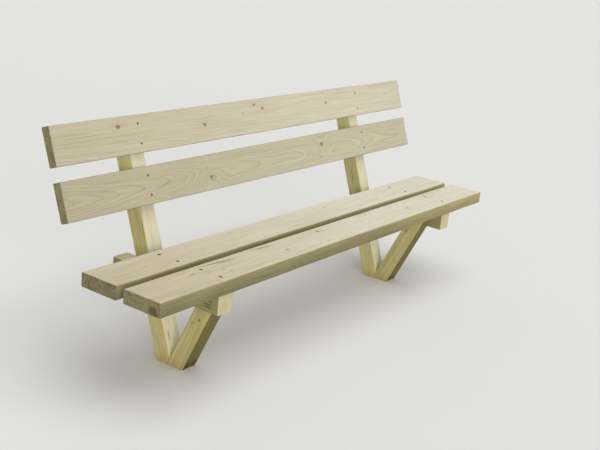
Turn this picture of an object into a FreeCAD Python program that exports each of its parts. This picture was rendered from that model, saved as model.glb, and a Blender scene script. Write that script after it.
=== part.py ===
import FreeCAD, Part
import math
import os

os.makedirs("parts", exist_ok=True)

# A low garden bench of planed softwood.
# Two thick seat boards and two thinner back boards are carried by two V-shaped frames.
# Each frame is a long back post and a short front leg that meet on the ground,
# tied together by a seat bearer bolted to their outer faces.
#
# Working axes while building: x runs along the bench from its left end,
# y runs from the seat's front edge towards the back, z is up from the ground.
# At the end every piece is moved so that the origin is on the ground,
# below the middle of the bench. The front of the bench faces -y.
# All lengths are in millimetres and all angles in degrees.

# Whole bench
bench_length = 2000.0
seat_height = 385.0
frame_inset = 327.0

# Seat boards
seat_board_width = 150.0
seat_board_thickness = 48.0
seat_board_gap = 28.0
seat_board_rounding = 5.0

# Back boards and the lean they share with the posts
back_board_width = 125.0
back_board_thickness = 32.0
back_board_gap = 45.0
back_board_rounding = 3.0
back_lean = 19.5
back_rise_above_seat = 133.0
back_setback_from_seat = 64.3

# Back posts
post_width = 65.0
post_depth = 65.0
post_top_below_board = 14.0

# Front legs
leg_depth = 65.0
leg_lean = 24.5
fork_height = 28.0

# Seat bearers
bearer_width = 65.0
bearer_height = 66.0
bearer_front_setback = 8.0
bearer_rear_overhang = 48.0

# Eased edges of the square timber, and the small bevel around sawn ends
timber_rounding = 3.0
end_bevel = 1.5

# Screws that hold the seat boards
seat_screw_length = 110.0
seat_screw_thread_radius = 3.0
seat_screw_core_radius = 2.1
seat_screw_shank_radius = 2.3
seat_screw_head_radius = 5.8
seat_screw_head_height = 4.0
seat_screw_thread_length = 66.0
seat_screw_pitch = 3.0
seat_screw_edge_distance = 35.0

# Screws that hold the back boards
back_screw_length = 75.0
back_screw_thread_radius = 2.5
back_screw_core_radius = 1.7
back_screw_shank_radius = 1.9
back_screw_head_radius = 4.8
back_screw_head_height = 3.3
back_screw_thread_length = 48.0
back_screw_pitch = 2.6
back_screw_edge_distance = 30.0

# Long screws that hold a leg's foot against the foot of the post
foot_screw_length = 110.0
foot_screw_thread_radius = 4.0
foot_screw_core_radius = 2.8
foot_screw_shank_radius = 3.0
foot_screw_head_radius = 7.0
foot_screw_head_height = 4.6
foot_screw_thread_length = 60.0
foot_screw_pitch = 3.6
foot_screw_height = 16.0
foot_screw_half_spacing = 16.0
foot_screw_sink = 5.0

# Details shared by all the screws
head_sink = 0.8
head_rim = 0.5
recess_depth = 2.4
recess_width = 1.2
recess_share_of_head = 0.62
tip_share_of_length = 0.08
screw_clearance = 0.15

# Round-headed bolts through bearer and frame, with their washers and nuts
bolt_radius = 5.0
bolt_root_radius = 4.2
bolt_pitch = 1.5
bolt_threaded_length = 34.0
bolt_head_radius = 12.0
bolt_head_height = 5.4
bolt_neck_length = 6.0
bolt_end_proud = 3.0
bolt_clearance = 0.25
washer_radius = 15.0
washer_thickness = 2.5
nut_sides = 6
nut_across_flats = 16.0
nut_height = 8.4
nut_clearance = 0.1
nut_corner_bevel = 1.2

# How the rings of a thread and the bevels of a nut are drawn
crest_start_share = 0.33
crest_end_share = 0.5
ring_end_share = 0.83
nut_bevel_angle = 30.0

# How far a cutting shape runs past the timber it cuts
cut_overrun = 400.0

# How nearly straight or level an edge must be to be picked
parallel_share = 0.999
level_share_of_bevel = 0.001

# Directions
to_right = FreeCAD.Vector(1, 0, 0)
to_back = FreeCAD.Vector(0, 1, 0)
upward = FreeCAD.Vector(0, 0, 1)
downward = FreeCAD.Vector(0, 0, -1)

# Values that follow from the sizes above
seat_underside = seat_height - seat_board_thickness
seat_depth = seat_board_width + seat_board_gap + seat_board_width
back_low_edge_y = seat_depth + back_setback_from_seat
back_low_edge_z = seat_height + back_rise_above_seat
back_height = back_board_width + back_board_gap + back_board_width
back_angle = math.radians(back_lean)
leg_angle = math.radians(leg_lean)
bolt_height = seat_underside - bearer_height / 2


def back_point(x, up_the_back, behind_the_face):
    # A point given in the leaning plane of the back boards' front faces
    y = back_low_edge_y + up_the_back * math.sin(back_angle) + behind_the_face * math.cos(back_angle)
    z = back_low_edge_z + up_the_back * math.cos(back_angle) - behind_the_face * math.sin(back_angle)
    return FreeCAD.Vector(x, y, z)


def post_front_y(z):
    # Where the post's front face stands at a height
    corner = back_point(0, 0, back_board_thickness)
    return corner.y + (z - corner.z) * math.tan(back_angle)


def post_middle_y(z):
    return post_front_y(z) + post_depth / math.cos(back_angle) / 2


def post_rear_y(z):
    return post_front_y(z) + post_depth / math.cos(back_angle)


# The leg stands where its rear face meets the post's front face at the fork
leg_rear_foot_y = post_front_y(fork_height) + fork_height * math.tan(leg_angle)
leg_foot_y = leg_rear_foot_y - leg_depth / math.cos(leg_angle)


def leg_front_y(z):
    return leg_foot_y - z * math.tan(leg_angle)


def leg_middle_y(z):
    return leg_front_y(z) + leg_depth / math.cos(leg_angle) / 2


def edges_along(shape, axis):
    # The straight edges that run along an axis
    chosen = []
    for edge in shape.Edges:
        start = edge.Vertexes[0].Point
        end = edge.Vertexes[-1].Point
        run = end.sub(start)
        if run.Length > 0 and abs(run.dot(axis)) > parallel_share * run.Length:
            chosen.append(edge)
    return chosen


def edges_at(shape, axis, level):
    # The edges that lie wholly in the plane at a level along an axis
    chosen = []
    for edge in shape.Edges:
        middle = edge.CenterOfMass.dot(axis)
        ends = [vertex.Point.dot(axis) for vertex in edge.Vertexes]
        levels = ends + [middle]
        if max(abs(value - level) for value in levels) < level_share_of_bevel * end_bevel:
            chosen.append(edge)
    return chosen


def timber(size_x, size_y, size_z, axis, rounding):
    # A planed bar with its four long edges rounded and its sawn ends bevelled
    bar = Part.makeBox(size_x, size_y, size_z)
    bar = bar.makeFillet(rounding, edges_along(bar, axis))
    length = FreeCAD.Vector(size_x, size_y, size_z).dot(axis)
    rims = edges_at(bar, axis, 0) + edges_at(bar, axis, length)
    return bar.makeChamfer(end_bevel, rims)


def moved(shape, x, y, z):
    copy = shape.copy()
    copy.translate(FreeCAD.Vector(x, y, z))
    return copy


def leaned(shape, degrees, x, y, z):
    # Turn about the x axis, then carry to a place. Positive turns lean forwards.
    copy = shape.copy()
    copy.rotate(FreeCAD.Vector(0, 0, 0), to_right, degrees)
    copy.translate(FreeCAD.Vector(x, y, z))
    return copy


def aimed(shape, point, direction):
    # Carry a fastener built with its head at the origin and its shaft pointing down
    copy = shape.copy()
    copy.Placement = FreeCAD.Placement(point, FreeCAD.Rotation(downward, direction))
    return copy


def turned(outline):
    # A solid of revolution about the z axis from radius and height pairs
    points = [FreeCAD.Vector(radius, 0, height) for radius, height in outline]
    points.append(points[0])
    face = Part.Face(Part.makePolygon(points))
    return face.revolve(FreeCAD.Vector(0, 0, 0), upward, 360)


def ridges(core_radius, crest_radius, top, bottom, pitch):
    # The outline of a thread drawn as rings, from its top down to its bottom
    outline = []
    count = int((top - bottom) / pitch)
    for index in range(count):
        ring_top = top - index * pitch
        outline.append((core_radius, ring_top))
        outline.append((crest_radius, ring_top - pitch * crest_start_share))
        outline.append((crest_radius, ring_top - pitch * crest_end_share))
        outline.append((core_radius, ring_top - pitch * ring_end_share))
    return outline


def wood_screw(length, thread_radius, core_radius, shank_radius, head_radius, head_height,
               thread_length, pitch):
    # A countersunk screw with a cross recess, head on top and point at the bottom
    tip_length = length * tip_share_of_length
    outline = [(0, 0), (head_radius, 0), (head_radius, -head_rim), (shank_radius, -head_height)]
    outline.append((shank_radius, thread_length - length))
    outline += ridges(core_radius, thread_radius, thread_length - length, tip_length - length, pitch)
    outline.append((core_radius, tip_length - length))
    outline.append((0, -length))
    screw = turned(outline)
    arm = 2 * head_radius * recess_share_of_head
    for along, across in ((arm, recess_width), (recess_width, arm)):
        slot = Part.makeBox(along, across, recess_depth + head_rim)
        screw = screw.cut(moved(slot, -along / 2, -across / 2, -recess_depth))
    return screw


def screw_hole(length, thread_radius, head_radius, head_height):
    # The countersunk hole for a screw, open above its head
    wall = thread_radius + screw_clearance
    mouth = head_radius + screw_clearance
    cone_end = -head_height - screw_clearance
    outline = [(0, cut_overrun), (mouth, cut_overrun), (mouth, -head_rim - screw_clearance)]
    outline.append((wall, cone_end))
    outline.append((wall, -length - screw_clearance))
    outline.append((0, -length - screw_clearance))
    return turned(outline)


def seat_screw():
    return wood_screw(seat_screw_length, seat_screw_thread_radius, seat_screw_core_radius,
                      seat_screw_shank_radius, seat_screw_head_radius, seat_screw_head_height,
                      seat_screw_thread_length, seat_screw_pitch)


def back_screw():
    return wood_screw(back_screw_length, back_screw_thread_radius, back_screw_core_radius,
                      back_screw_shank_radius, back_screw_head_radius, back_screw_head_height,
                      back_screw_thread_length, back_screw_pitch)


def foot_screw():
    return wood_screw(foot_screw_length, foot_screw_thread_radius, foot_screw_core_radius,
                      foot_screw_shank_radius, foot_screw_head_radius, foot_screw_head_height,
                      foot_screw_thread_length, foot_screw_pitch)


# The two sides: the outer face of the frame, and the direction from it to the bench's middle
sides = {
    "left": (frame_inset, 1),
    "right": (bench_length - frame_inset, -1),
}


def low_x(outer_face, inward, start, width):
    # The smaller x of a bar that begins a distance inside the frame's outer face
    return min(outer_face + inward * start, outer_face + inward * (start + width))


def bearer_middle_x(side):
    outer_face, inward = sides[side]
    return outer_face - inward * bearer_width / 2


def post_middle_x(side):
    outer_face, inward = sides[side]
    return outer_face + inward * post_width / 2


# Where each kind of fastener goes: a point and the direction in which it is driven

def seat_screw_places():
    places = []
    front_board = 0
    rear_board = seat_board_width + seat_board_gap
    for side in sides:
        for board in (front_board, rear_board):
            for y in (board + seat_screw_edge_distance,
                      board + seat_board_width - seat_screw_edge_distance):
                head = FreeCAD.Vector(bearer_middle_x(side), y, seat_height - head_sink)
                places.append((head, downward))
    return places


def into_the_back():
    return FreeCAD.Vector(0, math.cos(back_angle), -math.sin(back_angle))


def back_screw_places():
    places = []
    lower_board = 0
    upper_board = back_board_width + back_board_gap
    for side in sides:
        for board in (lower_board, upper_board):
            for up in (board + back_screw_edge_distance,
                       board + back_board_width - back_screw_edge_distance):
                places.append((back_point(post_middle_x(side), up, head_sink), into_the_back()))
    return places


def foot_screw_places():
    places = []
    y = leg_front_y(foot_screw_height) + foot_screw_sink
    for side in sides:
        for offset in (-foot_screw_half_spacing, foot_screw_half_spacing):
            head = FreeCAD.Vector(post_middle_x(side) + offset, y, foot_screw_height)
            places.append((head, to_back))
    return places


def bolt_places():
    places = []
    for side in sides:
        outer_face, inward = sides[side]
        head_x = outer_face - inward * bearer_width
        direction = FreeCAD.Vector(inward, 0, 0)
        for y in (leg_middle_y(bolt_height), post_middle_y(bolt_height)):
            places.append((FreeCAD.Vector(head_x, y, bolt_height), direction))
    return places


def bored(timber_piece, hole, places):
    # Cut the same hole at every place
    holes = [aimed(hole, point, direction) for point, direction in places]
    return timber_piece.cut(holes)


def seat_screw_hole():
    return screw_hole(seat_screw_length, seat_screw_thread_radius, seat_screw_head_radius,
                      seat_screw_head_height)


def back_screw_hole():
    return screw_hole(back_screw_length, back_screw_thread_radius, back_screw_head_radius,
                      back_screw_head_height)


def foot_screw_hole():
    return screw_hole(foot_screw_length, foot_screw_thread_radius, foot_screw_head_radius,
                      foot_screw_head_height)


bolt_grip = bearer_width + post_width
bolt_length = bolt_grip + washer_thickness + nut_height + bolt_end_proud


def bolt():
    # A domed head, a square neck that bites the wood, and a threaded end
    dome_radius = (bolt_head_radius ** 2 + bolt_head_height ** 2) / (2 * bolt_head_height)
    ball = Part.makeSphere(dome_radius)
    ball.translate(FreeCAD.Vector(0, 0, bolt_head_height - dome_radius))
    head = ball.common(Part.makeCylinder(bolt_head_radius, bolt_head_height))
    neck = Part.makeBox(2 * bolt_radius, 2 * bolt_radius, bolt_neck_length)
    neck.translate(FreeCAD.Vector(-bolt_radius, -bolt_radius, -bolt_neck_length))
    thread_top = bolt_threaded_length - bolt_length
    outline = [(0, 0), (bolt_radius, 0), (bolt_radius, thread_top)]
    outline += ridges(bolt_root_radius, bolt_radius, thread_top, -bolt_length, bolt_pitch)
    outline.append((bolt_root_radius, -bolt_length))
    outline.append((0, -bolt_length))
    return head.fuse([neck, turned(outline)]).removeSplitter()


def bolt_hole():
    # A round hole right through, squared at its mouth for the bolt's neck
    wall = bolt_radius + bolt_clearance
    hole = Part.makeCylinder(wall, cut_overrun, FreeCAD.Vector(0, 0, 0), downward)
    mouth = Part.makeBox(2 * wall, 2 * wall, bolt_neck_length + bolt_clearance)
    mouth.translate(FreeCAD.Vector(-wall, -wall, -bolt_neck_length - bolt_clearance))
    return hole.fuse(mouth)


def washer():
    ring = Part.makeCylinder(washer_radius, washer_thickness)
    return ring.cut(Part.makeCylinder(bolt_radius + bolt_clearance, washer_thickness))


def nut():
    # A hexagon with its corners bevelled on both faces
    corner_radius = nut_across_flats / 2 / math.cos(math.pi / nut_sides)
    corners = []
    for step in range(nut_sides + 1):
        angle = 2 * math.pi * step / nut_sides
        corners.append(FreeCAD.Vector(corner_radius * math.cos(angle), corner_radius * math.sin(angle), 0))
    block = Part.Face(Part.makePolygon(corners)).extrude(FreeCAD.Vector(0, 0, nut_height))
    flat = nut_across_flats / 2
    rim = flat + nut_corner_bevel
    drop = nut_corner_bevel * math.tan(math.radians(nut_bevel_angle))
    outline = [(0, 0), (flat, 0), (rim, drop), (rim, nut_height - drop), (flat, nut_height), (0, nut_height)]
    block = block.common(turned(outline))
    return block.cut(Part.makeCylinder(bolt_radius + nut_clearance, nut_height))


# The wooden pieces

def seat_board(front_y):
    board = timber(bench_length, seat_board_width, seat_board_thickness, to_right, seat_board_rounding)
    board = moved(board, 0, front_y, seat_underside)
    return bored(board, seat_screw_hole(), seat_screw_places())


def back_board(up_the_back):
    board = timber(bench_length, back_board_thickness, back_board_width, to_right, back_board_rounding)
    low_corner = back_point(0, up_the_back, 0)
    board = leaned(board, -back_lean, low_corner.x, low_corner.y, low_corner.z)
    return bored(board, back_screw_hole(), back_screw_places())


def below_ground():
    slab = Part.makeBox(bench_length, seat_depth + cut_overrun, cut_overrun)
    return moved(slab, 0, 0, -cut_overrun)


def above_seat_bearing():
    slab = Part.makeBox(bench_length, seat_depth + cut_overrun, cut_overrun)
    return moved(slab, 0, -cut_overrun, seat_underside)


def in_front_of_leg_rear_face(low_edge_x):
    # Everything on the front side of the leaning plane of the leg's rear face
    slab = Part.makeBox(post_width, cut_overrun, 2 * cut_overrun)
    slab.translate(FreeCAD.Vector(0, leg_depth - cut_overrun, -cut_overrun))
    return leaned(slab, leg_lean, low_edge_x, leg_foot_y, 0)


def back_post(side):
    # One length from the ground to the upper back board, its toe cut to sit on the leg
    outer_face, inward = sides[side]
    low_edge_x = low_x(outer_face, inward, 0, post_width)
    top = back_height - post_top_below_board
    post_length = top + back_low_edge_z / math.cos(back_angle) + post_depth
    start = back_point(low_edge_x, top - post_length, back_board_thickness)
    post = timber(post_width, post_depth, post_length, upward, timber_rounding)
    post = leaned(post, -back_lean, start.x, start.y, start.z)
    post = post.cut([below_ground(), in_front_of_leg_rear_face(low_edge_x)])
    post = bored(post, back_screw_hole(), back_screw_places())
    post = bored(post, bolt_hole(), bolt_places())
    return bored(post, foot_screw_hole(), foot_screw_places())


def front_leg(side):
    # Cut level at both ends: the foot on the ground, the top under the front seat board
    outer_face, inward = sides[side]
    low_edge_x = low_x(outer_face, inward, 0, post_width)
    leg_length = seat_underside / math.cos(leg_angle) + 2 * leg_depth
    leg = timber(post_width, leg_depth, leg_length, upward, timber_rounding)
    leg = moved(leg, 0, 0, -leg_depth)
    leg = leaned(leg, leg_lean, low_edge_x, leg_foot_y, 0)
    leg = leg.cut([below_ground(), above_seat_bearing()])
    leg = bored(leg, bolt_hole(), bolt_places())
    return bored(leg, foot_screw_hole(), foot_screw_places())


def seat_bearer(side):
    # A square rail from front to back on the outer faces of leg and post
    outer_face, inward = sides[side]
    low_edge_x = low_x(outer_face, inward, -bearer_width, bearer_width)
    rear_end = post_rear_y(bolt_height) + bearer_rear_overhang
    length = rear_end - bearer_front_setback
    bearer = timber(bearer_width, length, bearer_height, to_back, timber_rounding)
    bearer = moved(bearer, low_edge_x, bearer_front_setback, seat_underside - bearer_height)
    bearer = bored(bearer, seat_screw_hole(), seat_screw_places())
    return bored(bearer, bolt_hole(), bolt_places())


# The fastener groups

def fasteners(shape, places):
    return [aimed(shape, point, direction) for point, direction in places]


def washers():
    group = []
    for head, direction in bolt_places():
        seat = head.add(FreeCAD.Vector(direction).multiply(bolt_grip + washer_thickness))
        group.append(aimed(washer(), seat, direction))
    return group


def nuts():
    group = []
    for head, direction in bolt_places():
        seat = head.add(FreeCAD.Vector(direction).multiply(bolt_grip + washer_thickness + nut_height))
        group.append(aimed(nut(), seat, direction))
    return group


pieces = {
    "seat_board_front": [seat_board(0)],
    "seat_board_rear": [seat_board(seat_board_width + seat_board_gap)],
    "back_board_lower": [back_board(0)],
    "back_board_upper": [back_board(back_board_width + back_board_gap)],
    "back_post_left": [back_post("left")],
    "back_post_right": [back_post("right")],
    "front_leg_left": [front_leg("left")],
    "front_leg_right": [front_leg("right")],
    "seat_bearer_left": [seat_bearer("left")],
    "seat_bearer_right": [seat_bearer("right")],
    "seat_board_screws": fasteners(seat_screw(), seat_screw_places()),
    "back_board_screws": fasteners(back_screw(), back_screw_places()),
    "foot_screws": fasteners(foot_screw(), foot_screw_places()),
    "bearer_bolts": fasteners(bolt(), bolt_places()),
    "bearer_bolt_washers": washers(),
    "bearer_bolt_nuts": nuts(),
}

# The rearmost point of the bench is the bevelled rear corner on top of a post
post_top = back_height - post_top_below_board
rearmost = back_point(0, post_top - end_bevel, back_board_thickness + post_depth)
to_origin = FreeCAD.Vector(-bench_length / 2, -rearmost.y / 2, 0)

for name, solids in pieces.items():
    for solid in solids:
        solid.translate(to_origin)
    shape = solids[0]
    if len(solids) > 1:
        shape = Part.makeCompound(solids)
    shape.exportStep("parts/" + name + ".step")
    box = shape.BoundBox
    print(name, len(solids), shape.isValid(), round(shape.Volume),
          [round(value, 1) for value in (box.XMin, box.YMin, box.ZMin, box.XMax, box.YMax, box.ZMax)])
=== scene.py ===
"""Dresses the timber garden bench: planed, weathered softwood, dark screws and galvanised bolts."""

import math

import bmesh
import bpy
from bpy.props import FloatProperty, FloatVectorProperty, PointerProperty
from bpy.types import Operator, Panel, PropertyGroup
from mathutils import Matrix, Vector, noise


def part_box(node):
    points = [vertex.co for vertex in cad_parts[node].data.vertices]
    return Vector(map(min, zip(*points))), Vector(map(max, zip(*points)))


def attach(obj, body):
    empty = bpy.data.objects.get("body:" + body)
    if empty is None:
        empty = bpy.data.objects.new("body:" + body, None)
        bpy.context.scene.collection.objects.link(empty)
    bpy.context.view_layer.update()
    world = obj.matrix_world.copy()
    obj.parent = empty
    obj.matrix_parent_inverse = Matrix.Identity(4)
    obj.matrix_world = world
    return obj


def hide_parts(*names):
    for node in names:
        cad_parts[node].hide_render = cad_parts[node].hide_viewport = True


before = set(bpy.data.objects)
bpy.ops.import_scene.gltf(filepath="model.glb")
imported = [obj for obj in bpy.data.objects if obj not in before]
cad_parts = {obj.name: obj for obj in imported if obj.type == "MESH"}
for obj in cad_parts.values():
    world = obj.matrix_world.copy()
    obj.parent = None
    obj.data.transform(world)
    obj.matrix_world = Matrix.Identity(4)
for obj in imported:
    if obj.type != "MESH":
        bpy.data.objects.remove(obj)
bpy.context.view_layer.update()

bl_info = {
    "name": "Timber garden bench",
    "version": (1, 0, 0),
    "blender": (4, 5, 0),
    "location": "3D View > Sidebar > Bench",
    "description": "Dresses a low garden bench in treated softwood, screws and bolts",
    "category": "Add Mesh",
}

ACROSS_BENCH = Vector((1, 0, 0))
BACKWARDS = Vector((0, 1, 0))
UPWARDS = Vector((0, 0, 1))
SHARP_ANGLE = math.radians(35)
SAME_PLACE = 1e-6
# The sides of a round hole, and the widths of the rims round it and round its square patch
ROUND_SIDES, HOLE_RIM, PATCH_RIM = 32, 0.0005, 0.001
# A face of a timber whose normal leans more than this along it is part of a sawn end
END_FACING = 0.2
# No even score comes nearer to the middle of a screw's patch than this many half widths
CLEAR_OF_PATCH = 1.4

# How often per metre the faces wave, and the arrises are dented and chipped
WAVES_ALONG, WAVES_ACROSS = 7, 28
DENTS, CHIPS = 23, 90
# Where the noise of dents and chips starts to count, and how much it then does
DENTS_FROM, DENTS_SHARE = 0.1, 2
CHIPS_FROM, CHIPS_SHARE = 0.35, 1.5
# How far apart in the noise the seeds of the timbers lie, and the four arrises of a timber
WAVES_APART, DENTS_APART, CHIPS_APART = 9.7, 3.1, 5.3
DENTED_ARRISES_APART, CHIPPED_ARRISES_APART = 5.3, 7.9


# Sizes and colours that a user would change


def length(name, text, default):
    return FloatProperty(name=name, description=text, default=default, min=0, precision=4, unit="LENGTH")


def position(name, text, default):
    return FloatProperty(name=name, description=text, default=default, precision=4, unit="LENGTH")


def angle(name, text, degrees):
    return FloatProperty(name=name, description=text, default=math.radians(degrees), unit="ROTATION")


def share(name, text, default, highest=1):
    return FloatProperty(name=name, description=text, default=default, min=0, max=highest, subtype="FACTOR")


def colour(name, text, default):
    return FloatVectorProperty(
        name=name, description=text, default=default, size=3, min=0, max=1, subtype="COLOR"
    )


class BENCH_PG_seat_boards(PropertyGroup):
    rounding: length("Long edge rounding", "Radius along the long edges of a seat board", 0.005)
    end_rounding: length("End rounding", "Radius round the sawn ends of a seat board", 0.003)
    screw_from_middle: length("Screws from middle", "Screw row to the middle of the bench", 0.7055)
    screw_from_edge: length("Screws from edge", "Screw to the nearer long edge of its board", 0.035)
    face_colour: colour("Face", "Dried, bleached face of the seat boards", (0.64, 0.585, 0.44))
    ring_colour: colour("Growth rings", "Darker summer growth on the face", (0.43, 0.36, 0.24))
    edge_colour: colour("Edges", "Long edges, stained by the preservative", (0.276, 0.246, 0.123))
    end_colour: colour("Ends", "Rough end grain", (0.252, 0.213, 0.112))


class BENCH_PG_back_boards(PropertyGroup):
    width: length("Width", "Width of a back board", 0.125)
    thickness: length("Thickness", "Thickness of a back board", 0.032)
    rounding: length("Long edge rounding", "Radius along the long edges of a back board", 0.003)
    end_rounding: length("End rounding", "Radius round the sawn ends of a back board", 0.0012)
    screw_from_middle: length("Screws from middle", "Screw row to the middle of the bench", 0.6405)
    screw_from_edge: length("Screws from edge", "Screw to the nearer long edge of its board", 0.030)
    face_colour: colour("Face", "Dried face of the back boards", (0.62, 0.57, 0.41))
    ring_colour: colour("Growth rings", "Darker summer growth on the face", (0.36, 0.29, 0.18))
    edge_colour: colour("Edges", "Long edges, stained by the preservative", (0.33, 0.31, 0.19))
    end_colour: colour("Ends", "Rough end grain", (0.258, 0.236, 0.118))


class BENCH_PG_frame_timber(PropertyGroup):
    section: length("Section", "Side of the square frame timber", 0.065)
    rounding: length("Long edge rounding", "Radius along the long edges of frame timber", 0.003)
    end_rounding: length("End rounding", "Radius round the sawn ends of frame timber", 0.0012)
    post_lean: angle("Post lean", "How far the posts and the back lean backwards", 19.5)
    leg_lean: angle("Leg lean", "How far the front legs lean forwards", 24.5)
    face_colour: colour("Face", "Pale face of the posts, legs and bearers", (0.72, 0.68, 0.49))
    ring_colour: colour("Growth rings", "Darker summer growth on the face", (0.50, 0.42, 0.22))
    side_colour: colour("Side faces", "Golden faces towards the bench's ends", (0.56, 0.50, 0.23))
    # Painted shade: the legs' fronts face down, and this colour is partly their darker wood, partly painted
    # shade
    front_painted_shade_colour: colour("Leg fronts, painted shade", "Darker wood and painted shade on the legs' front", (0.190, 0.158, 0.056))
    bearer_colour: colour("Bearer sides", "Stained sides of the bearers", (0.375, 0.335, 0.160))
    # Painted light: the bearers' tops are lightened where shade falls on them
    bearer_top_painted_light_colour: colour("Bearer tops", "Top of the bearers, lightened with painted light", (0.68, 0.63, 0.38))
    end_colour: colour("Ends", "Rough end grain", (0.55, 0.47, 0.27))
    bearer_end_colour: colour("Bearer ends", "Clean, freshly sawn ends of the bearers", (0.67, 0.60, 0.37))
    foot_colour: colour("Feet", "Earth stain at the feet", (0.62, 0.47, 0.22))


class BENCH_PG_hardware(PropertyGroup):
    seat_mouth: length("Seat mouth radius", "Radius of the opening over a seat screw", 0.0044)
    back_mouth: length("Back mouth radius", "Radius of the opening over a back screw", 0.0031)
    lip: length("Lip", "Thickness of the wood that closes in over a screw head", 0.0007)
    screw_recess: length("Recess radius", "Radius of the countersink over a seat screw's head", 0.0062)
    screw_hole: length("Hole radius", "Radius of the screw hole in a board", 0.0033)
    countersink: length("Countersink depth", "Depth of the countersink in a board", 0.0048)
    screw_colour: colour("Screws", "Dark brown coated steel of the screws", (0.085, 0.055, 0.030))
    # Painted shade: the foot screws are darkened to lie in the shade of their recesses
    foot_screw_shaded_colour: colour("Foot screws", "Yellow steel of the foot screws, darkened with painted shade", (0.09, 0.07, 0.035))
    bolt_colour: colour("Bolts", "Galvanised steel of bolts, washers and nuts", (0.52, 0.53, 0.52))


class BENCH_PG_studio(PropertyGroup):
    key: share("Key light", "Brightness of the soft lamp overhead", 0.465, 2)
    front: share("Front light", "Brightness of the low soft lamp at the front left", 0.51, 2)
    side: share("Side light", "Brightness of the low soft lamp at the left", 0.06, 2)
    rear: share("Rear light", "Brightness of the soft lamp behind the bench", 0.16, 2)
    sky: share("Sky light", "Brightness of the even light from all round", 0.32, 2)
    floor_colour: colour("Floor", "Pale floor, as the camera sees it", (0.84, 0.84, 0.82))
    backdrop_colour: colour("Backdrop", "Past the floor, as bright as the lit floor", (0.760, 0.760, 0.738))
    bounce_colour: colour("Floor bounce", "What the floor throws back at the bench", (0.50, 0.50, 0.44))
    camera_across: position("Camera across", "Camera right of the bench's middle", -2.892117)
    camera_back: position("Camera back", "Camera behind the bench's middle", -2.048796)
    camera_height: length("Camera height", "Camera above the floor", 1.440165)
    camera_turn: angle("Camera turn", "Turn of the camera from the back wall", -55.195)
    camera_dip: angle("Camera dip", "Tilt of the camera above the horizon", -17.059)
    camera_roll: angle("Camera roll", "Roll of the camera", 5.717)
    camera_lens: FloatProperty(name="Lens", description="Focal length in mm", default=59.0715, min=1)


SETTINGS = {
    "bench_seat_boards": BENCH_PG_seat_boards,
    "bench_back_boards": BENCH_PG_back_boards,
    "bench_frame_timber": BENCH_PG_frame_timber,
    "bench_hardware": BENCH_PG_hardware,
    "bench_studio": BENCH_PG_studio,
}


# Woodworking: how a timber is shaped, in its own frame of length, width and thickness


def every(bm):
    return bm.verts[:] + bm.edges[:] + bm.faces[:]


def set_out(along, across, middle):
    """The place of a timber: its length, width and thickness directions and its middle."""
    through = along.cross(across)
    turn = Matrix((along, across, through)).transposed()
    return Matrix.Translation(middle) @ turn.to_4x4()


def round_over(bm, edges, radius, facets, clamp):
    bmesh.ops.bevel(
        bm,
        geom=edges,
        offset=radius,
        offset_type="OFFSET",
        segments=facets,
        profile=0.5,
        affect="EDGES",
        clamp_overlap=clamp,
        material=-1,
    )


def planed_timber(start, end, width, thickness, rounding, facets):
    """A squared timber from start to end along its length, with its long arrises rounded."""
    bm = bmesh.new()
    bmesh.ops.create_cube(bm, size=1)
    bmesh.ops.scale(bm, vec=(end - start, width, thickness), verts=bm.verts)
    bmesh.ops.translate(bm, vec=((start + end) / 2, 0, 0), verts=bm.verts)
    reach = (end - start) / 2
    arrises = [edge for edge in bm.edges if abs(edge.verts[0].co.x - edge.verts[1].co.x) > reach]
    round_over(bm, arrises, rounding, facets, True)
    return bm


def saw_off(bm, place, point, direction):
    """Saws off what lies beyond a plane of the bench, and closes the cut."""
    home = place.inverted()
    facing = home.to_3x3() @ direction
    cut = bmesh.ops.bisect_plane(
        bm, geom=every(bm), dist=SAME_PLACE, plane_co=home @ point, plane_no=facing, clear_outer=True
    )
    rim = [part for part in cut["geom_cut"] if isinstance(part, bmesh.types.BMEdge)]
    bmesh.ops.holes_fill(bm, edges=rim, sides=len(rim))
    bm.normal_update()


def ease_ends(bm, radius, facets):
    """Takes the sharpness off the rims of the sawn ends."""
    bm.normal_update()
    ends = {face for face in bm.faces if abs(face.normal.x) > END_FACING}
    rims = [edge for edge in bm.edges if any(face in ends for face in edge.link_faces)]
    round_over(bm, rims, radius, facets, False)


def score(bm, axis, places):
    """Cuts the faces of a timber along planes square to one of its directions."""
    facing = Vector((0, 0, 0))
    facing[axis] = 1
    for place in places:
        bmesh.ops.bisect_plane(
            bm, geom=every(bm), dist=SAME_PLACE, plane_co=facing * place, plane_no=facing
        )


def patch_borders(patches, reach):
    return [middle + side * reach for middle in patches for side in (-1, 1)]


def stations(start, end, step, patches=(), reach=0):
    """Even places for scoring, with the borders of the screws' patches and nothing inside them."""
    count = max(1, round((end - start) / step))
    places = [start + (end - start) * i / count for i in range(1, count)]
    clear = [at for at in places if all(abs(at - patch) > reach * CLEAR_OF_PATCH for patch in patches)]
    return clear + patch_borders(patches, reach)


def face_at(bm, spot):
    return min(bm.faces, key=lambda face: (face.calc_center_median() - spot).length)


def round_patch(bm, middle, radius):
    """Sets a round face into the square patch at a screw, and returns it."""
    patch = [face_at(bm, middle)]
    bmesh.ops.inset_individual(bm, faces=patch, thickness=PATCH_RIM, use_even_offset=True)
    sides = list(face_at(bm, middle).edges)
    bmesh.ops.subdivide_edges(bm, edges=sides, cuts=ROUND_SIDES // 4 - 1)
    patch = [face_at(bm, middle)]
    bmesh.ops.inset_individual(bm, faces=patch, thickness=HOLE_RIM, use_even_offset=True)
    face = face_at(bm, middle)
    for vert in face.verts:
        vert.co = middle + (vert.co - middle).normalized() * radius
    return face


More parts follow.
